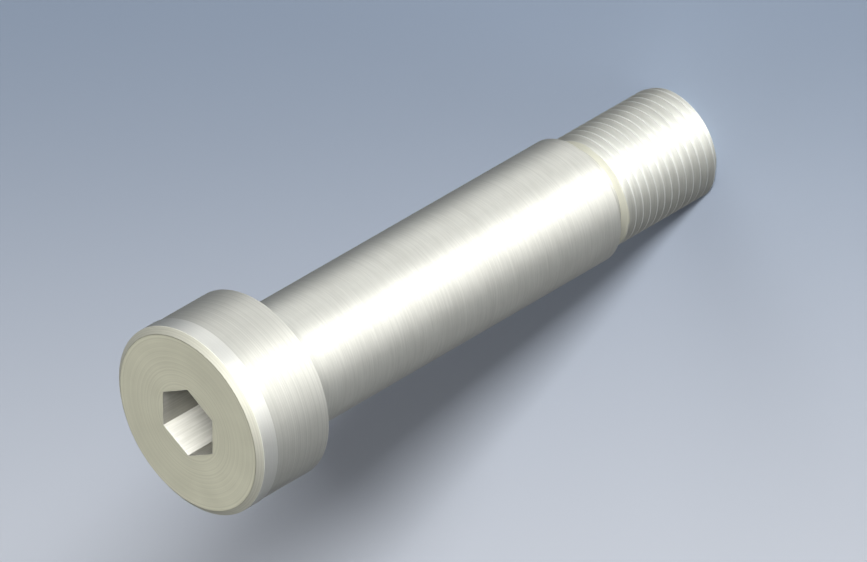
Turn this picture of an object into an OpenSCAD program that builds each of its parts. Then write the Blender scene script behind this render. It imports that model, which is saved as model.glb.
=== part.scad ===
// Shoulder bolt with a hexagon socket head, turned, ground and threaded from one bar.
// Millimetres. The axis is Z, and +Z points to the head. The origin lies on the axis, in the
// plane of the shoulder's end face, which seats round the tapped hole that takes the thread.
// The thread is drawn as the plain cylinder over its crests.

/* [Shoulder] */
// Ground diameter of the shoulder
shoulder_d = 20; // [19:0.5:26]
// Length of the shoulder, from its end face to the underside of the head
shoulder_l = 65; // [20:1:120]
// Depth of the grinding relief under the head, on a side
relief_depth = 0.3; // [0.1:0.05:0.8]
// Width of the grinding relief, along the axis
relief_w = 2.5; // [1:0.1:4]

/* [Head] */
// Diameter over the front band of the head
head_d = 30; // [28:0.5:40]
// Height of the head, from its underside to its face
head_h = 14; // [12:0.5:24]
// Length of the front band, with the chamfer at its edge
band_l = 3.5; // [2:0.25:6]
// Depth of the step behind the front band, on a side
band_step = 0.125; // [0.05:0.025:0.5]
// Width of the chamfer round the face, along the radius
face_chamfer_w = 1; // [0.5:0.25:2]
// Height of the chamfer round the face, along the axis
face_chamfer_h = 0.75; // [0.25:0.25:1.5]

/* [Hexagon socket] */
// Distance across the flats of the socket
socket_af = 10; // [5:1:14]
// Depth of the flats, from the face of the head
socket_depth = 9; // [4:0.5:11]
// Ledge that the broach leaves between each flat and the pilot hole
pilot_ledge = 0.2; // [0.1:0.05:1]
// Point angle of the pilot drill
pilot_point_angle = 120; // [90:1:150]

/* [Undercut] */
// Length of the undercut between the shoulder and the thread
neck_l = 2.1; // [1:0.1:5]
// How far the undercut lies below the root of the thread, on a side
neck_clearance = 0.23; // [0.1:0.01:0.5]
// Radius in the corner between the undercut and the shoulder's end face
neck_fillet_r = 0.6; // [0.2:0.1:0.9]

/* [Thread] */
// Diameter over the crests of the thread
thread_d = 18; // [14:0.5:18.5]
// Pitch of the thread
thread_pitch = 1.5; // [1:0.25:2]
// Length from the shoulder's end face to the tip
thread_l = 22; // [12:0.5:40]
// Slope of the chamfer at each end of the thread, from a plane across the axis
thread_chamfer_angle = 30; // [20:5:45]
// How far the edge of the flat tip lies below the crests, on a side
tip_drop = 1.25; // [1:0.05:2]

/* [Hidden] */
$fn = 96;

// Depth of an external metric thread with a rounded root, for each millimetre of pitch
THREAD_DEPTH_PER_PITCH = 0.6134;
// Number of flats in the socket, and the turn that sets two of them square to X
HEXAGON = 6;
HEXAGON_TURN = 30;
// How far a cut runs past the face that it opens, and a fillet into the metal behind it
overlap = 0.5;
bright_steel = "#B4B4A8";

shoulder_r = shoulder_d / 2;
relief_r = shoulder_r - relief_depth;
relief_start = shoulder_l - relief_w;

band_r = head_d / 2;
head_r = band_r - band_step;
face_r = band_r - face_chamfer_w;
head_top = shoulder_l + head_h;

thread_r = thread_d / 2;
thread_depth = THREAD_DEPTH_PER_PITCH * thread_pitch;
neck_drop = thread_depth + neck_clearance;
neck_r = thread_r - neck_drop;
tip_r = thread_r - tip_drop;
thread_start = -neck_l - neck_drop * tan(thread_chamfer_angle);
thread_end = -thread_l + tip_drop * tan(thread_chamfer_angle);

socket_corner_r = socket_af / 2 / cos(180 / HEXAGON);
pilot_r = socket_af / 2 - pilot_ledge;
pilot_point_h = pilot_r / tan(pilot_point_angle / 2);

// Radius and height of each corner of the head, from its underside to its face
function head_corners() = [
    [head_r, shoulder_l],
    [head_r, head_top - band_l],
    [band_r, head_top - band_l],
    [band_r, head_top - face_chamfer_h],
    [face_r, head_top],
];

// Corners of the shoulder, from its end face to the relief under the head
function shoulder_corners() = [
    [shoulder_r, 0],
    [shoulder_r, relief_start],
    [relief_r, relief_start],
    [relief_r, shoulder_l],
];

// Corners of the thread and the undercut, from the tip to the shoulder's end face
function thread_corners() = [
    [tip_r, -thread_l],
    [thread_r, thread_end],
    [thread_r, thread_start],
    [neck_r, -neck_l],
    [neck_r, 0],
];

// Fillet in the corner where the undercut meets the shoulder's end face
module neck_fillet() {
    difference() {
        translate([neck_r - overlap, -neck_fillet_r])
            square([neck_fillet_r + overlap, neck_fillet_r + overlap]);
        translate([neck_r + neck_fillet_r, -neck_fillet_r])
            circle(r = neck_fillet_r);
    }
}

// The bolt as it leaves the lathe and the grinder, with no socket yet
module turned_blank() {
    rotate_extrude() {
        polygon(concat(
            [[0, -thread_l]],
            thread_corners(),
            shoulder_corners(),
            head_corners(),
            [[0, head_top]]
        ));
        neck_fillet();
    }
}

// The space of the hexagon socket: the pilot hole with its drill point, then the broached flats
module hex_socket() {
    translate([0, 0, head_top - socket_depth]) {
        cylinder(h = socket_depth + overlap, r = pilot_r);
        rotate(HEXAGON_TURN)
            cylinder(h = socket_depth + overlap, r = socket_corner_r, $fn = HEXAGON);
        translate([0, 0, -pilot_point_h])
            cylinder(h = pilot_point_h, r1 = 0, r2 = pilot_r);
    }
}

module shoulder_bolt() {
    color(bright_steel)
        difference() {
            turned_blank();
            hex_socket();
        }
}

shoulder_bolt();
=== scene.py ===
"""Shoulder bolt with a hexagon socket head, dressed for its picture.

The bolt is one piece of bright steel, so it is one closed mesh. The turned blank is built ring by
ring, the socket's rings close it at the head, and a helical thread, made by geometry nodes, closes
it at the tip. Each stretch carries the finish of the tool that cut it. The bolt stands on its tip.
"""

import logging
import math
from dataclasses import dataclass, field
from enum import Enum

import bmesh
import bpy
from mathutils import Matrix, Vector

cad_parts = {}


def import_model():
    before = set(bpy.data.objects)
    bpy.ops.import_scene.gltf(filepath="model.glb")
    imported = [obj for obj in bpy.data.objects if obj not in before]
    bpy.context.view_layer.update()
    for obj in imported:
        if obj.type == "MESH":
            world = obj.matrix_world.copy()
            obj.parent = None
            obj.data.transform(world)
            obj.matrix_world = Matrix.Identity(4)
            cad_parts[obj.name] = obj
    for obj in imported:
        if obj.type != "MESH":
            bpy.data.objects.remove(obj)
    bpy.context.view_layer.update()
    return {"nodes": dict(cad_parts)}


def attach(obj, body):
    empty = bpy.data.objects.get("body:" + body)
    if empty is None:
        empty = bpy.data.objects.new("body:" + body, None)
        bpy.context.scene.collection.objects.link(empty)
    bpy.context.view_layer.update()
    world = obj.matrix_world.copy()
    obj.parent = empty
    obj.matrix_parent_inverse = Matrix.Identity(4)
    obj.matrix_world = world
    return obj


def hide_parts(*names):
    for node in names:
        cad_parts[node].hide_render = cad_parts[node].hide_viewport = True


LOG = logging.getLogger("bolt")

MM = 0.001
BODY = "root"
CAD_NODE = "shoulder_bolt"
PIECE = "bright_bolt"

# Vertices nearer than this, in metres, are one vertex
WELD = 2e-6
# Faces that meet at less than this angle are shaded as one curve
SMOOTH_BELOW = math.radians(35)
# Flats in the arc that rounds an edge
ARC_STEPS = 4
# Distance of the ring beside an arc from the arc's end, as a share of the arc's radius
GUARD_SHARE = 0.4

# External metric thread with a rounded root: its depth, the radius of its root and the width of
# its crest, each for a pitch of one, and the lean of a flank from a plane across the axis
DEPTH_PER_PITCH = 0.6134
ROOT_PER_PITCH = 0.1443
CREST_PER_PITCH = 0.125
FLANK_LEAN = math.radians(30)

# The oil film on the steel: the width of its clouds in millimetres, how finely they break up, and
# their share, beside the tool marks, in how the colour changes from place to place
FILM_CLOUD_MM = 4.0
FILM_DETAIL = 2.0
FILM_SHARE = 0.3
# Levels of marks and film together at which the colour is the bare steel's, and at which it carries the
# full painted shade of the marks and the film's grime
BARE_LEVEL = 0.38
FULL_SHADE_AND_GRIME_LEVEL = 0.62
# Layers of ever finer marks among the tool marks, and the strength of each beside the one before
MARK_DETAIL = 3.0
MARK_ROUGHNESS = 0.6
# How many times as long as wide a scratch or a drag line is
MARK_LENGTH = 30
# Part of a full turn from along the marks to across them
ACROSS_MARKS = 0.25

# The way up the picture on the floor: +Y and half as much of -X
UP_PICTURE = (-0.5, 1.0, 0.0)
# sRGB colour of the even backdrop, round the floor and under the horizon
BACKDROP_COLOR = "#B4BECB"


def linear_color(code: str) -> tuple[float, float, float, float]:
    """Turns an sRGB colour into the linear values that shaders work in.

    Args:
        code: six hexadecimal digits after a hash.

    Returns:
        Linear red, green and blue, and an alpha of one.
    """
    shares = [int(code[start : start + 2], 16) / 255 for start in (1, 3, 5)]
    # The curve of the sRGB standard: a short straight foot, then a power
    linear = [s / 12.92 if s <= 0.04045 else ((s + 0.055) / 1.055) ** 2.4 for s in shares]
    return (linear[0], linear[1], linear[2], 1.0)


def add_node(
    tree: bpy.types.NodeTree,
    kind: str,
    inputs: dict[str | int, object] | None = None,
    **settings: str,
) -> bpy.types.Node:
    """Adds one node to a tree, sets it up and joins its inputs.

    Args:
        tree: the shader or geometry tree that takes the node.
        kind: Blender's name for the node's type.
        inputs: what each input, by its name or number, gets: a value, another node's output, or
            another node, which stands for its first output.
        **settings: the node's own properties.

    Returns:
        The new node.
    """
    node = tree.nodes.new(kind)
    for name, value in settings.items():
        setattr(node, name, value)
    for key, value in (inputs or {}).items():
        if isinstance(value, bpy.types.Node):
            value = value.outputs[0]
        if isinstance(value, bpy.types.NodeSocket):
            tree.links.new(value, node.inputs[key])
        else:
            node.inputs[key].default_value = value
    return node


class Marks(Enum):
    """The lay of the marks that a tool leaves on steel."""

    TURNED = "feed rings of a lathe tool, right round the axis"
    GROUND = "short scratches of a grinding wheel, round the axis"
    BROACHED = "drag lines of a broach, along the axis"


@dataclass(frozen=True)
class SteelFinish:
    """Bright steel with the finish of one tool.

    Attributes:
        name: what the steel is and how it was cut, the material's name.
        color: sRGB colour of the bare metal.
        mark_shade_and_grime_color: sRGB colour where the tool marks carry painted shade and the oil
            film's grime dulls the steel.
        roughness: how widely the metal spreads a reflection.
        anisotropy: how much more it spreads along the axis than round it.
        marks: lay of the tool marks.
        spacing_mm: distance from one mark to the next.
        depth_mm: depth of the marks.
        mottle: how much the roughness varies with the painted shade of the marks and the grime.
        edge_color: sRGB tint of what it reflects a little short of grazing, where steel dips.
    """

    name: str
    color: str
    mark_shade_and_grime_color: str
    roughness: float
    anisotropy: float
    marks: Marks
    spacing_mm: float
    depth_mm: float
    mottle: float
    edge_color: str = "#A0A0A0"

    def material(self) -> bpy.types.Material:
        """Builds the metal, which reads object coordinates only.

        Returns:
            The material.
        """
        material = bpy.data.materials.new(self.name)
        material.use_nodes = True
        tree = material.node_tree
        tree.nodes.clear()
        place = add_node(tree, "ShaderNodeTexCoord").outputs["Object"]
        height = self._mark_height(tree, place)
        bump = add_node(tree, "ShaderNodeBump", {"Distance": self.depth_mm * MM, "Height": height})
        # The direction round the axis is the axis crossed with the place, and a reflection is
        # spread across it
        around = add_node(
            tree, "ShaderNodeVectorMath", {0: (0.0, 0.0, 1.0), 1: place}, operation="CROSS_PRODUCT"
        )
        along_marks = add_node(tree, "ShaderNodeVectorMath", {0: around}, operation="NORMALIZE")
        film = add_node(
            tree,
            "ShaderNodeTexNoise",
            {"Vector": place, "Scale": 1 / (FILM_CLOUD_MM * MM), "Detail": FILM_DETAIL},
        )
        # Painted shade of the tool marks: the colour darkens with the marks' height, mixed with grime
        # where the oil film is thick
        mark_shade_and_grime = add_node(
            tree, "ShaderNodeMix", {"Factor": FILM_SHARE, "A": height, "B": film.outputs["Fac"]}
        )
        share = add_node(
            tree,
            "ShaderNodeMapRange",
            {"Value": mark_shade_and_grime, "From Min": BARE_LEVEL, "From Max": FULL_SHADE_AND_GRIME_LEVEL},
        )
        # The colour turns from the bare steel to the darker one with that mix: painted shade along the
        # marks, with the film's grime
        color = add_node(
            tree,
            "ShaderNodeMix",
            {"Factor": share, "A": linear_color(self.color), "B": linear_color(self.mark_shade_and_grime_color)},
            data_type="RGBA",
        )
        rough = add_node(
            tree,
            "ShaderNodeMapRange",
            {
                "Value": share,
                "To Min": self.roughness - self.mottle,
                "To Max": self.roughness + self.mottle,
            },
        )
        shader = add_node(
            tree,
            "ShaderNodeBsdfPrincipled",
            {
                "Base Color": color.outputs["Result"],
                "Metallic": 1.0,
                "Roughness": rough,
                "Anisotropic": self.anisotropy,
                "Anisotropic Rotation": ACROSS_MARKS,
                "Specular Tint": linear_color(self.edge_color),
                "Tangent": along_marks,
                "Normal": bump,
            },
        )
        add_node(tree, "ShaderNodeOutputMaterial", {"Surface": shader})
        return material

    def _mark_height(self, tree: bpy.types.NodeTree, place: bpy.types.NodeSocket) -> bpy.types.NodeSocket:
        """Draws the height of the tool marks.

        Args:
            tree: the material's tree.
            place: object coordinates.

        Returns:
            A height from 0 to 1.
        """
        per_metre = 1 / (self.spacing_mm * MM)
        if self.marks is Marks.TURNED:
            apart = add_node(tree, "ShaderNodeSeparateXYZ", {0: place})
            across = add_node(
                tree, "ShaderNodeVectorMath", {0: place, 1: (1.0, 1.0, 0.0)}, operation="MULTIPLY"
            )
            radius = add_node(tree, "ShaderNodeVectorMath", {0: across}, operation="LENGTH")
            # Height less radius grows steadily along a turned outline, on a side as on a face
            travel = add_node(
                tree,
                "ShaderNodeMath",
                {0: apart.outputs["Z"], 1: radius.outputs["Value"]},
                operation="SUBTRACT",
            )
            rings = add_node(
                tree,
                "ShaderNodeTexNoise",
                {
                    "W": travel,
                    "Scale": per_metre,
                    "Detail": MARK_DETAIL,
                    "Roughness": MARK_ROUGHNESS,
                },
                noise_dimensions="1D",
            )
            return rings.outputs["Fac"]
        drawn_out = per_metre / MARK_LENGTH
        stretch = (
            (drawn_out, drawn_out, per_metre)
            if self.marks is Marks.GROUND
            else (per_metre, per_metre, drawn_out)
        )
        drawn = add_node(tree, "ShaderNodeVectorMath", {0: place, 1: stretch}, operation="MULTIPLY")
        scratches = add_node(
            tree,
            "ShaderNodeTexNoise",
            {"Vector": drawn, "Scale": 1.0, "Detail": MARK_DETAIL, "Roughness": MARK_ROUGHNESS},
        )
        return scratches.outputs["Fac"]


# Bar steel left bright by the lathe tool: even feed rings on a soft grey. Real feed rings lie
# 0.1 mm apart, under a pixel here, so they are drawn three times as coarse.
TURNED_STEEL = SteelFinish(
    name="bright_steel_turned",
    color="#D4D3CB",
    mark_shade_and_grime_color="#C9C8C0",
    roughness=0.79,
    anisotropy=0.78,
    marks=Marks.TURNED,
    spacing_mm=0.3,
    depth_mm=0.02,
    mottle=0.02,
)
# The head's front band gets a finishing cut with a finer feed: smoother and paler. Its rings lie
# 0.05 mm apart and are drawn four times as coarse.
FINE_TURNED_STEEL = SteelFinish(
    name="bright_steel_fine_turned",
    color="#E0DFD8",
    mark_shade_and_grime_color="#DAD9D2",
    roughness=0.7,
    anisotropy=0.75,
    marks=Marks.TURNED,
    spacing_mm=0.2,
    depth_mm=0.012,
    mottle=0.01,
)
# The head's face is turned last, across the axis: concentric rings on a flatter and warmer grey
# that mirrors more sharply. Its rings lie 0.08 mm apart and are drawn three times as coarse.
FACED_STEEL = SteelFinish(
    name="bright_steel_faced",
    color="#CECDB9",
    mark_shade_and_grime_color="#C6C5B2",
    roughness=0.38,
    anisotropy=0.1,
    marks=Marks.TURNED,
    spacing_mm=0.25,
    depth_mm=0.012,
    mottle=0.015,
)
# The chamfers round the face and at the thread's ends are cut by a form tool: the face's warmer
# grey with a softer sheen. The tool's lines lie 0.05 mm apart and are drawn five times as coarse.
CHAMFERED_STEEL = SteelFinish(
    name="bright_steel_chamfered",
    color="#DFDED1",
    mark_shade_and_grime_color="#D7D6C9",
    roughness=0.7,
    anisotropy=0.15,
    marks=Marks.TURNED,
    spacing_mm=0.25,
    depth_mm=0.012,
    mottle=0.02,
)
# The shoulder is finished on a cylindrical grinder: paler and smoother, with fine scratches round
# it. Real scratches are 0.03 mm wide and are drawn about seven times as coarse.
GROUND_STEEL = SteelFinish(
    name="bright_steel_ground",
    color="#DAD9D1",
    mark_shade_and_grime_color="#D0CFC7",
    roughness=0.78,
    anisotropy=0.8,
    marks=Marks.GROUND,
    spacing_mm=0.2,
    depth_mm=0.008,
    mottle=0.012,
)
# The thread is cut with a single-point tool: a cool bright grey with short drag lines along the
# helix. The lines are 0.05 mm wide and are drawn five times as coarse.
THREAD_STEEL = SteelFinish(
    name="bright_steel_threaded",
    color="#DCDCD6",
    mark_shade_and_grime_color="#D0D0CA",
    roughness=0.72,
    anisotropy=0.6,
    marks=Marks.GROUND,
    spacing_mm=0.25,
    depth_mm=0.01,
    mottle=0.02,
)
# The socket's flats are shaved by the broach: drag lines along the axis, under a sheen that the chatter
# of its teeth spreads the same way. The lines are 0.1 mm wide, drawn over three times as coarse.
# Its grey is paler than the other steels': painted light, which brightens the flats down in the
# socket.
BROACHED_STEEL = SteelFinish(
    name="bright_steel_broached",
    color="#E4E3DC",
    mark_shade_and_grime_color="#D6D5CD",
    roughness=0.76,
    anisotropy=0.75,
    marks=Marks.BROACHED,
    spacing_mm=0.35,
    depth_mm=0.015,
    mottle=0.02,
)
FINISHES = (
    TURNED_STEEL,
    FINE_TURNED_STEEL,
    FACED_STEEL,
    CHAMFERED_STEEL,
    GROUND_STEEL,
    THREAD_STEEL,
    BROACHED_STEEL,
)


@dataclass(frozen=True)
class Corner:
    """One corner of a turned outline, in millimetres.

    Attributes:
        radius: distance from the axis.
        height: place along the axis.
        blend: radius of the arc that rounds the corner.
        finish: finish of the stretch that leads to the corner.
        steps: number of flats in the arc.
    """

    radius: float
    height: float
    blend: float
    finish: SteelFinish
    steps: int = ARC_STEPS


@dataclass(frozen=True)
class Ring:
    """One ring of the mesh, in millimetres.

    Attributes:
        radius: distance from the axis, or half the width across flats.
        height: place along the axis.
        finish: finish of the band that leads to the ring.
        hexagonal: the ring is a hexagon with two flats square to X.
    """

    radius: float
    height: float
    finish: SteelFinish
    hexagonal: bool = False

    def reach(self, angle: float) -> float:
        """Gives the ring's distance from the axis at one place.

        Args:
            angle: angle round the axis from +X, in radians.

        Returns:
            The distance in metres.
        """
        if not self.hexagonal:
            return self.radius * MM
        off_flat = (angle + math.pi / 6) % (math.pi / 3) - math.pi / 6
        return self.radius * MM / math.cos(off_flat)


def rounded(corners: list[Corner]) -> list[Ring]:
    """Rounds the corners of an outline.

    Each arc has one more ring a little beyond either end, which keeps the stretch beside it flat
    where shading is blended from ring to ring.

    Args:
        corners: the corners in order. The first and the last stay sharp.

    Returns:
        The outline's rings, from the first corner to the last.
    """
    rings = [Ring(corners[0].radius, corners[0].height, corners[0].finish)]
    for before, here, after in zip(corners, corners[1:], corners[2:]):
        point = Vector((here.radius, here.height))
        arriving = (point - Vector((before.radius, before.height))).normalized()
        leaving = (Vector((after.radius, after.height)) - point).normalized()
        bend = math.atan2(arriving.cross(leaving), arriving.dot(leaving))
        reach = here.blend * math.tan(abs(bend) / 2)
        guard = GUARD_SHARE * here.blend
        side = Vector((-arriving.y, arriving.x)) * math.copysign(here.blend, bend)
        start = point - arriving * reach
        places = [(start - arriving * guard, here.finish)]
        for step in range(here.steps + 1):
            spoke = Matrix.Rotation(bend * step / here.steps, 2) @ -side
            places.append((start + side + spoke, after.finish if step else here.finish))
        places.append((point + leaving * (reach + guard), after.finish))
        rings += [Ring(place.x, place.y, finish) for place, finish in places]
    rings.append(Ring(corners[-1].radius, corners[-1].height, corners[-1].finish))
    return rings


@dataclass
class Head:
    """The head, from its underside to its face, in millimetres.

    Attributes:
        diameter: over the front band.
        height: from the underside to the face.
        band_length: front band with its chamfer.
        band_step: drop behind the band, on a side.
        step_break: radius of that step's two edges, as a share of the drop.
        chamfer_width: chamfer round the face, along the radius.
        chamfer_height: the same chamfer, along the axis.
        edge_break: radius of the deburred edges.
    """

    diameter: float = 30.0
    height: float = 14.0
    band_length: float = 3.5
    band_step: float = 0.125
    step_break: float = 1 / 6
    chamfer_width: float = 1.0
    chamfer_height: float = 0.75
    edge_break: float = 0.12

    def corners(self, underside: float) -> list[Corner]:
        """Gives the head's outline.

        Args:
            underside: height of the head's underside.

        Returns:
            The corners from the rim of the underside to the edge of the face.
        """
        band = self.diameter / 2
        back = band - self.band_step
        face = underside + self.height
        band_start = face - self.band_length
        small = self.band_step * self.step_break
        return [
            Corner(back, underside, self.edge_break, TURNED_STEEL),
            Corner(back, band_start, small, TURNED_STEEL),
            Corner(band, band_start, small, TURNED_STEEL),
            Corner(band, face - self.chamfer_height, self.edge_break, FINE_TURNED_STEEL),
            Corner(band - self.chamfer_width, face, self.edge_break, CHAMFERED_STEEL),
        ]


@dataclass
class Socket:
    """The hexagon socket: broached flats over the point of the pilot drill, in millimetres.

    Attributes:
        across_flats: width from flat to flat.
        depth: depth of the flats.
        pilot_ledge: step between a flat and the pilot hole.
        point_angle: angle of the drill point, in degrees.
        edge_break: radius of the deburred mouth.
        rim: radius of a ring of the face round the mouth.
        point_shares: rings of the drill point, as shares of the pilot hole's radius.
    """

    across_flats: float = 10.0
    depth: float = 9.0
    pilot_ledge: float = 0.2
    point_angle: float = 120.0
    edge_break: float = 0.1
    rim: float = 8.0
    point_shares: tuple[float, ...] = (0.97, 0.5, 0.03, 0.0)

    def rings(self, face: float) -> list[Ring]:
        """Gives the rings from the mouth down to the drill point.

        Args:
            face: height of the head's face.

        Returns:
            Rings that lead from the rim on the face to the axis.
        """
        flat = self.across_flats / 2
        floor = face - self.depth
        pilot = flat - self.pilot_ledge
        drop = pilot / math.tan(math.radians(self.point_angle / 2))
        mouth = flat + self.edge_break
        guard = GUARD_SHARE * self.edge_break
        rings = [Ring(mouth + guard, face, FACED_STEEL, True), Ring(mouth, face, FACED_STEEL, True)]
        for step in range(1, ARC_STEPS + 1):
            angle = math.pi / 2 * step / ARC_STEPS
            rings.append(
                Ring(
                    mouth - self.edge_break * math.sin(angle),
                    face - self.edge_break * (1 - math.cos(angle)),
                    BROACHED_STEEL,
                    True,
                )
            )
        rings += [
            Ring(flat, face - self.edge_break - guard, BROACHED_STEEL, True),
            Ring(flat, face - self.depth / 2, BROACHED_STEEL, True),
            Ring(flat, floor, BROACHED_STEEL, True),
            Ring(pilot, floor, BROACHED_STEEL),
        ]
        for share in self.point_shares:
            rings.append(Ring(pilot * share, floor - drop * (1 - share), TURNED_STEEL))
        return rings


@dataclass
class Shoulder:
    """The ground shoulder, with the grinding relief under the head, in millimetres.

    Attributes:
        diameter: ground diameter.
        length: from its end face to the head's underside.
        relief_depth: drop of the relief, on a side.
        relief_width: width of the relief.
        edge_break: radius of the deburred edges.
    """

    diameter: float = 20.0
    length: float = 65.0
    relief_depth: float = 0.3
    relief_width: float = 2.5
    edge_break: float = 0.1

    def corners(self) -> list[Corner]:
        """Gives the shoulder's outline.

        Returns:
            The corners from the rim of the end face to the foot of the head.
        """
        radius = self.diameter / 2
        relief = radius - self.relief_depth
        relief_start = self.length - self.relief_width
        return [
            Corner(radius, 0.0, self.edge_break, TURNED_STEEL),
            Corner(radius, relief_start, self.edge_break, GROUND_STEEL),
            Corner(relief, relief_start, self.edge_break, TURNED_STEEL),
            Corner(relief, self.length, self.edge_break, TURNED_STEEL),
        ]


@dataclass
class ThreadedEnd:
    """The undercut and the right-hand thread beyond the shoulder, in millimetres.

    Attributes:
        diameter: over the crests.
        pitch: distance from crest to crest.
        length: from the shoulder's end face to the tip.
        neck_length: undercut at the shoulder's end.
        neck_clearance: drop of the undercut below the thread's root.
        neck_fillet: radius in the undercut's corner.
        fillet_steps: number of flats in that radius.
        chamfer_angle: slope of the thread's end chamfers from a plane across the axis, in degrees.
        tip_drop: drop from the crests to the edge of the flat tip.
        rows_per_pitch: rows of faces in a pitch. With 16, every edge of the thread lies on a row.
        on_cone: how far below a chamfer's cone a face still belongs to the chamfer.
        start_angle: how far the thread is turned round the axis, in degrees, a whole number of
            columns. It sets where the first crest meets the chamfer.
    """

    diameter: float = 18.0
    pitch: float = 1.5
    length: float = 22.0
    neck_length: float = 2.1
    neck_clearance: float = 0.23
    neck_fillet: float = 0.6
    fillet_steps: int = 6
    chamfer_angle: float = 30.0
    tip_drop: float = 1.25
    rows_per_pitch: int = 16
    on_cone: float = 0.02
    start_angle: float = -92.5

    @property
    def neck(self) -> float:
        """Radius of the undercut."""
        return self.diameter / 2 - DEPTH_PER_PITCH * self.pitch - self.neck_clearance

    @property
    def tip(self) -> float:
        """Radius of the flat tip."""
        return self.diameter / 2 - self.tip_drop

    @property
    def chamfer_slope(self) -> float:
        """How much a chamfer at the thread's end gains in radius for each millimetre of height."""
        return 1 / math.tan(math.radians(self.chamfer_angle))

    def neck_corners(self) -> list[Corner]:
        """Gives the undercut's outline.

        Returns:
            The corners from the thread to the shoulder's end face.
        """
        return [
            Corner(self.neck, -self.neck_length, 0.0, TURNED_STEEL),
            Corner(self.neck, 0.0, self.neck_fillet, TURNED_STEEL, self.fillet_steps),
        ]

    def tip_rings(self) -> list[Ring]:
        """Gives the flat tip's rings, from the axis to its edge."""
        return [Ring(self.tip * share, -self.length, TURNED_STEEL) for share in (0.0, 0.5, 1.0)]

    def finish_at(self, place: Vector) -> SteelFinish:
        """Tells the thread's end chamfers from the thread.

        Args:
            place: the middle of a face of the thread's skin, in metres.

        Returns:
            The finish of that face.
        """
        height = place.z / MM
        run_in = self.neck - (height + self.neck_length) * self.chamfer_slope
        run_out = self.tip + (height + self.length) * self.chamfer_slope
        depth = min(run_in, run_out) - math.hypot(place.x, place.y) / MM
        return CHAMFERED_STEEL if depth < self.on_cone else THREAD_STEEL

    def thread(self, columns: int, steel: bpy.types.Material) -> bpy.types.Mesh:
        """Cuts the thread.

        Args:
            columns: number of faces round the axis.
            steel: material of the thread.

        Returns:
            The thread's skin, a tube that ends in a plain ring at the undercut and one at the tip.
        """
        # One turn more than the thread has, because each row climbs a pitch as it goes round. An
        # even number of rows puts one on the sheet's middle, where a crest is.
        turns = (self.length - self.neck_length) / self.pitch + 1
        rows = 2 * math.ceil(turns * self.rows_per_pitch / 2)
        values = {
            "Columns": columns + 1,
            "Rows": rows + 1,
            "Turns": rows / self.rows_per_pitch,
            "Pitch": self.pitch * MM,
            "Crest Radius": self.diameter / 2 * MM,
            "Crest Width": CREST_PER_PITCH * self.pitch * MM,
            "Depth": DEPTH_PER_PITCH * self.pitch * MM,
            "Root Radius": ROOT_PER_PITCH * self.pitch * MM,
            "Neck Radius": self.neck * MM,
            "Tip Radius": self.tip * MM,
            "Top": -self.neck_length * MM,
            "Bottom": -self.length * MM,
            "Chamfer Slope": self.chamfer_slope,
            "Start Angle": math.radians(self.start_angle),
            "Steel": steel,
        }
        tree = self._thread_tree(tuple(values))
        blank = bpy.data.objects.new("thread_blank", bpy.data.meshes.new("thread_blank"))
        bpy.context.scene.collection.objects.link(blank)
        modifier = blank.modifiers.new("thread", "NODES")
        modifier.node_group = tree
        for item in tree.interface.items_tree:
            if item.in_out == "INPUT":
                modifier[item.identifier] = values[item.name]
        cut = blank.evaluated_get(bpy.context.evaluated_depsgraph_get())
        skin = bpy.data.meshes.new_from_object(cut)
        bpy.data.objects.remove(blank)
        bpy.data.node_groups.remove(tree)
        return skin

    @staticmethod
    def _thread_tree(names: tuple[str, ...]) -> bpy.types.NodeTree:
        """Builds the tree that bends a sheet into the thread.

        The sheet is one turn wide and as many pitches tall as the thread. It is sheared by one
        pitch as it goes round, so each of its rows follows the helix and its seam closes.

        Args:
            names: the names of the tree's inputs, in order.

        Returns:
            The geometry node tree.
        """
        tree = bpy.data.node_groups.new("cut_thread", "GeometryNodeTree")
        kinds = {"Columns": "Int", "Rows": "Int", "Steel": "Material"}
        for name in names:
            kind = "NodeSocket" + kinds.get(name, "Float")
            tree.interface.new_socket(name, in_out="INPUT", socket_type=kind)
        tree.interface.new_socket("Thread", in_out="OUTPUT", socket_type="NodeSocketGeometry")
        given = add_node(tree, "NodeGroupInput").outputs
        sheet = add_node(
            tree,
            "GeometryNodeMeshGrid",
            {
                "Size X": 1.0,
                "Size Y": given["Turns"],
                "Vertices X": given["Columns"],
                "Vertices Y": given["Rows"],
            },
        )
        point = add_node(tree, "ShaderNodeSeparateXYZ", {0: add_node(tree, "GeometryNodeInputPosition")})
        turn = point.outputs["X"]
        row = point.outputs["Y"]

        # Height: the row and the turn added, in pitches about the thread's middle, held within its ends
        ends = add_node(tree, "ShaderNodeMath", {0: given["Top"], 1: given["Bottom"]}, operation="ADD")
        middle = add_node(tree, "ShaderNodeMath", {0: ends, 1: 0.5}, operation="MULTIPLY")
        lift = add_node(tree, "ShaderNodeMath", {0: row, 1: turn}, operation="ADD")
        helix = add_node(
            tree, "ShaderNodeMath", {0: lift, 1: given["Pitch"], 2: middle}, operation="MULTIPLY_ADD"
        )
        height = add_node(
            tree, "ShaderNodeClamp", {"Value": helix, "Min": given["Bottom"], "Max": given["Top"]}
        )

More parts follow.
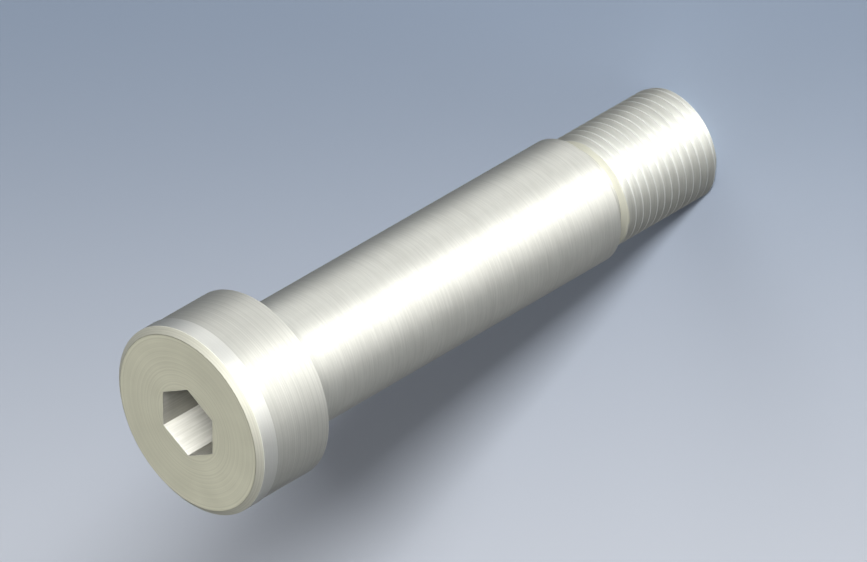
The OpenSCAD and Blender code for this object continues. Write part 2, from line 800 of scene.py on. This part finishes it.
        # Groove: flanks at 60 degrees to each other, down to the arc of the root
        phase = add_node(tree, "ShaderNodeMath", {0: row, 1: 0.5}, operation="PINGPONG")
        off_root = add_node(tree, "ShaderNodeMath", {0: 0.5, 1: phase}, operation="SUBTRACT")
        away = add_node(
            tree, "ShaderNodeMath", {0: off_root, 1: given["Pitch"]}, operation="MULTIPLY"
        )
        off_crest = add_node(tree, "ShaderNodeMath", {0: phase, 1: given["Pitch"]}, operation="MULTIPLY")
        half_crest = add_node(
            tree, "ShaderNodeMath", {0: given["Crest Width"], 1: 0.5}, operation="MULTIPLY"
        )
        past_crest = add_node(
            tree, "ShaderNodeMath", {0: off_crest, 1: half_crest}, operation="SUBTRACT"
        )
        slope = add_node(
            tree,
            "ShaderNodeMath",
            {0: past_crest, 1: 1 / math.tan(FLANK_LEAN)},
            operation="MULTIPLY",
        )
        flank = add_node(tree, "ShaderNodeMath", {0: slope, 1: 0.0}, operation="MAXIMUM")
        root = given["Root Radius"]
        root_squared = add_node(tree, "ShaderNodeMath", {0: root, 1: 2.0}, operation="POWER")
        away_squared = add_node(tree, "ShaderNodeMath", {0: away, 1: 2.0}, operation="POWER")
        left = add_node(
            tree, "ShaderNodeMath", {0: root_squared, 1: away_squared}, operation="SUBTRACT"
        )
        bow = add_node(tree, "ShaderNodeMath", {0: left}, operation="SQRT")
        bed = add_node(tree, "ShaderNodeMath", {0: given["Depth"], 1: root}, operation="SUBTRACT")
        arc = add_node(tree, "ShaderNodeMath", {0: bed, 1: bow}, operation="ADD")
        half_arc = add_node(
            tree, "ShaderNodeMath", {0: root, 1: math.cos(FLANK_LEAN)}, operation="MULTIPLY"
        )
        in_root = add_node(tree, "ShaderNodeMath", {0: away, 1: half_arc}, operation="LESS_THAN")
        groove = add_node(tree, "ShaderNodeMix", {"Factor": in_root, "A": flank, "B": arc})

        # Chamfers: a cone at each end trims the thread down to the plain rings
        below_top = add_node(
            tree, "ShaderNodeMath", {0: given["Top"], 1: height}, operation="SUBTRACT"
        )
        over_tip = add_node(
            tree, "ShaderNodeMath", {0: height, 1: given["Bottom"]}, operation="SUBTRACT"
        )
        run_in = add_node(
            tree,
            "ShaderNodeMath",
            {0: below_top, 1: given["Chamfer Slope"], 2: given["Neck Radius"]},
            operation="MULTIPLY_ADD",
        )
        run_out = add_node(
            tree,
            "ShaderNodeMath",
            {0: over_tip, 1: given["Chamfer Slope"], 2: given["Tip Radius"]},
            operation="MULTIPLY_ADD",
        )
        form = add_node(
            tree, "ShaderNodeMath", {0: given["Crest Radius"], 1: groove}, operation="SUBTRACT"
        )
        trimmed = add_node(tree, "ShaderNodeMath", {0: form, 1: run_in}, operation="MINIMUM")
        radius = add_node(tree, "ShaderNodeMath", {0: trimmed, 1: run_out}, operation="MINIMUM")

        angle = add_node(
            tree,
            "ShaderNodeMath",
            {0: turn, 1: math.tau, 2: given["Start Angle"]},
            operation="MULTIPLY_ADD",
        )
        cosine = add_node(tree, "ShaderNodeMath", {0: angle}, operation="COSINE")
        sine = add_node(tree, "ShaderNodeMath", {0: angle}, operation="SINE")
        out_x = add_node(tree, "ShaderNodeMath", {0: radius, 1: cosine}, operation="MULTIPLY")
        out_y = add_node(tree, "ShaderNodeMath", {0: radius, 1: sine}, operation="MULTIPLY")
        wrapped = add_node(tree, "ShaderNodeCombineXYZ", {"X": out_x, "Y": out_y, "Z": height})
        bent = add_node(
            tree, "GeometryNodeSetPosition", {"Geometry": sheet, "Position": wrapped}
        )
        welded = add_node(
            tree, "GeometryNodeMergeByDistance", {"Geometry": bent, "Distance": WELD}
        )
        real = add_node(tree, "GeometryNodeRealizeInstances", {"Geometry": welded})
        steel = add_node(
            tree, "GeometryNodeSetMaterial", {"Geometry": real, "Material": given["Steel"]}
        )
        add_node(tree, "NodeGroupOutput", {"Thread": steel})
        return tree


@dataclass
class ShoulderBolt:
    """The whole bolt.

    Attributes:
        head: the head.
        socket: its hexagon socket.
        shoulder: the ground shoulder.
        end: the undercut and the thread.
        columns: faces round the axis, a multiple of 12 so that the socket's corners lie on them.
    """

    head: Head = field(default_factory=Head)
    socket: Socket = field(default_factory=Socket)
    shoulder: Shoulder = field(default_factory=Shoulder)
    end: ThreadedEnd = field(default_factory=ThreadedEnd)
    columns: int = 144

    def build(self) -> bpy.types.Object:
        """Builds the bolt and stands it in for its plain solid.

        Returns:
            The finished object, on the frame's body.
        """
        steels = {finish: finish.material() for finish in FINISHES}
        skin = self.end.thread(self.columns, steels[THREAD_STEEL])
        form = bmesh.new()
        form.from_mesh(skin)
        bpy.data.meshes.remove(skin)
        for face in form.faces:
            face.material_index = FINISHES.index(self.end.finish_at(face.calc_center_median()))
            face.smooth = True
        self._spin(form, self.end.tip_rings())
        self._spin(form, self._blank_rings())
        bmesh.ops.remove_doubles(form, verts=form.verts, dist=WELD)
        bmesh.ops.recalc_face_normals(form, faces=form.faces)
        if not all(edge.is_manifold for edge in form.edges):
            raise ValueError("the bolt's skin is open")
        mesh = bpy.data.meshes.new(PIECE)
        form.to_mesh(mesh)
        form.free()
        for steel in steels.values():
            mesh.materials.append(steel)
        mesh.set_sharp_from_angle(angle=SMOOTH_BELOW)
        piece = bpy.data.objects.new(PIECE, mesh)
        bpy.context.scene.collection.objects.link(piece)
        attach(piece, BODY)
        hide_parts(CAD_NODE)
        return piece

    def _blank_rings(self) -> list[Ring]:
        """Gives the rings of everything that isn't thread or tip.

        Returns:
            Rings that lead from the undercut, over the shoulder and the head, into the socket.
        """
        face = self.shoulder.length + self.head.height
        corners = [
            *self.end.neck_corners(),
            *self.shoulder.corners(),
            *self.head.corners(self.shoulder.length),
            Corner(self.socket.rim, face, 0.0, FACED_STEEL),
        ]
        return rounded(corners) + self.socket.rings(face)

    def _spin(self, form: bmesh.types.BMesh, rings: list[Ring]) -> None:
        """Joins rings into a skin.

        Args:
            form: the mesh that takes the skin.
            rings: the rings in order.
        """
        angles = [math.tau * column / self.columns for column in range(self.columns)]
        loops = []
        for ring in rings:
            loops.append(
                [
                    form.verts.new(
                        (
                            ring.reach(angle) * math.cos(angle),
                            ring.reach(angle) * math.sin(angle),
                            ring.height * MM,
                        )
                    )
                    for angle in angles
                ]
            )
        for ring, lower, upper in zip(rings[1:], loops, loops[1:]):
            for column in range(self.columns):
                after = (column + 1) % self.columns
                face = form.faces.new((lower[column], lower[after], upper[after], upper[column]))
                face.material_index = FINISHES.index(ring.finish)
                face.smooth = True


@dataclass(frozen=True)
class Softbox:
    """A lamp behind a rectangle of white cloth, aimed at the bolt.

    Attributes:
        name: the lamp's name.
        azimuth: compass angle from +X towards +Y, in degrees.
        elevation: angle above the floor, in degrees.
        width: width in metres.
        height: height in metres.
        power: power in watts.
        distance: distance from the bolt, in metres.
    """

    name: str
    azimuth: float
    elevation: float
    width: float
    height: float
    power: float
    distance: float = 3.5

    def build(self, target: Vector) -> bpy.types.Object:
        """Hangs the lamp.

        Args:
            target: the point that it is aimed at, in metres.

        Returns:
            The lamp.
        """
        data = bpy.data.lights.new(self.name, "AREA")
        data.shape = "RECTANGLE"
        data.size = self.width
        data.size_y = self.height
        data.energy = self.power
        lamp = bpy.data.objects.new(self.name, data)
        bearing = math.radians(self.azimuth)
        rise = math.radians(self.elevation)
        outwards = Vector(
            (
                math.cos(bearing) * math.cos(rise),
                math.sin(bearing) * math.cos(rise),
                math.sin(rise),
            )
        )
        turn = (-outwards).to_track_quat("-Z", "Y").to_matrix().to_4x4()
        lamp.matrix_world = Matrix.Translation(target + outwards * self.distance) @ turn
        lamp.visible_camera = False
        bpy.context.scene.collection.objects.link(lamp)
        return lamp


# A tall narrow key beside the camera draws the long highlight and throws the shadow. Two low fills,
# one to each side of it, light the flanks and hardly the floor. The head's face mirrors the back
# panel in the picture, and the other dim panels when it is seen from the sides or from above.
LAMPS = (
    Softbox("key", azimuth=53.0, elevation=27.0, width=0.4, height=2.2, power=206.0),
    Softbox("left_fill", azimuth=113.0, elevation=5.5, width=2.4, height=0.55, power=67.0),
    Softbox("right_fill", azimuth=19.0, elevation=5.5, width=1.6, height=0.55, power=49.0),
    Softbox("back_panel", azimuth=225.0, elevation=35.0, width=1.6, height=1.3, power=9.2),
    Softbox("left_panel", azimuth=135.0, elevation=24.0, width=1.8, height=1.4, power=5.5),
    Softbox("right_panel", azimuth=315.0, elevation=17.0, width=1.8, height=1.4, power=4.0),
    Softbox("top_panel", azimuth=45.0, elevation=90.0, width=1.6, height=1.6, power=2.4),
)


@dataclass(frozen=True)
class SprayedBoard:
    """The floor's finish: matt paint, sprayed from a pale grey to a deeper one.

    Farther from the bolt it turns into an even backdrop, so no edge shows in a low view.

    Attributes:
        near_color: sRGB colour at the foot of the picture.
        far_color: sRGB colour at its head.
        fade_start: where the one starts to turn into the other, in millimetres.
        fade_end: where it has turned.
        roughness: how matt the paint is.
        gloss: how much it mirrors, where 0.5 is common paint.
        backdrop_start: distance from the bolt where the backdrop starts, in metres.
        backdrop_end: distance where nothing but the backdrop shows.
    """

    near_color: str = "#D6DBE4"
    far_color: str = "#8F9DB1"
    fade_start: float = -108.0
    fade_end: float = 42.0
    roughness: float = 0.9
    gloss: float = 0.1
    backdrop_start: float = 0.12
    backdrop_end: float = 0.9

    def material(self) -> bpy.types.Material:
        """Builds the paint and the backdrop, which read object coordinates only.

        Returns:
            The material.
        """
        paint = bpy.data.materials.new("matt_sprayed_board")
        paint.use_nodes = True
        tree = paint.node_tree
        tree.nodes.clear()
        place = add_node(tree, "ShaderNodeTexCoord").outputs["Object"]
        along_fade = add_node(
            tree, "ShaderNodeVectorMath", {0: place, 1: UP_PICTURE}, operation="DOT_PRODUCT"
        )
        fade = add_node(
            tree,
            "ShaderNodeMapRange",
            {
                "Value": along_fade.outputs["Value"],
                "From Min": self.fade_start * MM,
                "From Max": self.fade_end * MM,
            },
            interpolation_type="SMOOTHSTEP",
        )
        color = add_node(
            tree,
            "ShaderNodeMix",
            {
                "Factor": fade,
                "A": linear_color(self.near_color),
                "B": linear_color(self.far_color),
            },
            data_type="RGBA",
        )
        shader = add_node(
            tree,
            "ShaderNodeBsdfPrincipled",
            {
                "Base Color": color.outputs["Result"],
                "Roughness": self.roughness,
                "Specular IOR Level": self.gloss,
            },
        )
        away = add_node(tree, "ShaderNodeVectorMath", {0: place}, operation="LENGTH")
        share = add_node(
            tree,
            "ShaderNodeMapRange",
            {
                "Value": away.outputs["Value"],
                "From Min": self.backdrop_start,
                "From Max": self.backdrop_end,
            },
            interpolation_type="SMOOTHSTEP",
        )
        backdrop = add_node(
            tree, "ShaderNodeEmission", {"Color": linear_color(BACKDROP_COLOR), "Strength": 1.0}
        )
        surface = add_node(tree, "ShaderNodeMixShader", {0: share, 1: shader, 2: backdrop})
        add_node(tree, "ShaderNodeOutputMaterial", {"Surface": surface})
        return paint


@dataclass(frozen=True)
class StudioAir:
    """Faint light from all round, a little brighter along the horizon.

    Each height is the sine of an angle above the horizon.

    Attributes:
        color: sRGB colour of the light.
        horizon_strength: its strength along the horizon.
        sky_strength: its strength farther up.
        horizon_height: height where it starts to dim.
        sky_height: height where it has dimmed.
        backdrop_height: height, under the horizon, below which there is only backdrop.
    """

    color: str = "#F2F5FA"
    horizon_strength: float = 0.36
    sky_strength: float = 0.03
    horizon_height: float = 0.03
    sky_height: float = 0.2
    backdrop_height: float = -0.01

    def build(self) -> bpy.types.World:
        """Fills the studio with the air.

        Returns:
            The world.
        """
        world = bpy.data.worlds.new("studio_air")
        bpy.context.scene.world = world
        world.use_nodes = True
        tree = world.node_tree
        tree.nodes.clear()
        way = add_node(tree, "ShaderNodeTexCoord").outputs["Generated"]
        height = add_node(tree, "ShaderNodeSeparateXYZ", {0: way}).outputs["Z"]
        strength = add_node(
            tree,
            "ShaderNodeMapRange",
            {
                "Value": height,
                "From Min": self.horizon_height,
                "From Max": self.sky_height,
                "To Min": self.horizon_strength,
                "To Max": self.sky_strength,
            },
            interpolation_type="SMOOTHSTEP",
        )
        air = add_node(
            tree, "ShaderNodeBackground", {"Color": linear_color(self.color), "Strength": strength}
        )
        # Under the horizon the backdrop goes on beyond the floor's edge
        above = add_node(
            tree,
            "ShaderNodeMapRange",
            {"Value": height, "From Min": self.backdrop_height, "From Max": 0.0},
        )
        backdrop = add_node(
            tree, "ShaderNodeBackground", {"Color": linear_color(BACKDROP_COLOR), "Strength": 1.0}
        )
        surface = add_node(tree, "ShaderNodeMixShader", {0: above, 1: backdrop, 2: air})
        add_node(tree, "ShaderNodeOutputWorld", {"Surface": surface})
        return world


@dataclass
class Studio:
    """The floor, the air, the lamps and the camera round the bolt.

    Attributes:
        board: the floor's finish.
        air: the light from all round.
        floor_height: height of the floor, in millimetres.
        floor_size: side of the floor, in metres.
        target_height: height of the picture's middle on the bolt's axis, in millimetres.
        field_width: width of the picture at the bolt, in millimetres.
        lens: focal length, in millimetres.
        sensor: width of the sensor, in millimetres.
    """

    board: SprayedBoard = field(default_factory=SprayedBoard)
    air: StudioAir = field(default_factory=StudioAir)
    floor_height: float = -22.0
    floor_size: float = 12.0
    target_height: float = 28.85
    field_width: float = 126.4
    lens: float = 800.0
    sensor: float = 36.0

    def build(self) -> None:
        """Sets up the floor, the air, the lamps and the camera."""
        target = Vector((0.0, 0.0, self.target_height * MM))
        self._lay_floor()
        self.air.build()
        for lamp in LAMPS:
            lamp.build(target)
        self._aim_camera(target)
        bpy.context.scene.view_settings.view_transform = "Standard"

    def _lay_floor(self) -> None:
        """Lays the board that the bolt stands on."""
        half = self.floor_size / 2
        corners = [(-half, -half), (half, -half), (half, half), (-half, half)]
        mesh = bpy.data.meshes.new("floor")
        mesh.from_pydata([(x, y, self.floor_height * MM) for x, y in corners], [], [(0, 1, 2, 3)])
        mesh.materials.append(self.board.material())
        floor = bpy.data.objects.new("floor", mesh)
        bpy.context.scene.collection.objects.link(floor)

    def _aim_camera(self, target: Vector) -> None:
        """Sets the camera on the diagonal between the three axes, with +Y upwards in the picture.

        Args:
            target: the point in the middle of the picture, in metres.
        """
        data = bpy.data.cameras.new("camera")
        data.lens = self.lens
        data.sensor_width = self.sensor
        camera = bpy.data.objects.new("camera", data)
        towards = Vector((1.0, 1.0, 1.0)).normalized()
        up = (Vector((0.0, 1.0, 0.0)) - towards * towards.y).normalized()
        right = up.cross(towards)
        turn = Matrix((right, up, towards)).transposed().to_4x4()
        distance = self.field_width * MM * self.lens / self.sensor
        camera.matrix_world = Matrix.Translation(target + towards * distance) @ turn
        bpy.context.scene.collection.objects.link(camera)
        bpy.context.scene.camera = camera


def main() -> None:
    """Loads the frame, builds the bolt and its studio."""
    logging.basicConfig(level=logging.INFO, format="%(message)s")
    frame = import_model()
    LOG.info("nodes in the frame: %s", ", ".join(frame["nodes"]))
    bolt = ShoulderBolt().build()
    LOG.info("%s: %d faces, one closed skin", bolt.name, len(bolt.data.polygons))
    Studio().build()
    LOG.info("studio: a floor and %d lamps", len(LAMPS))


if __name__ == "__main__":
    main()
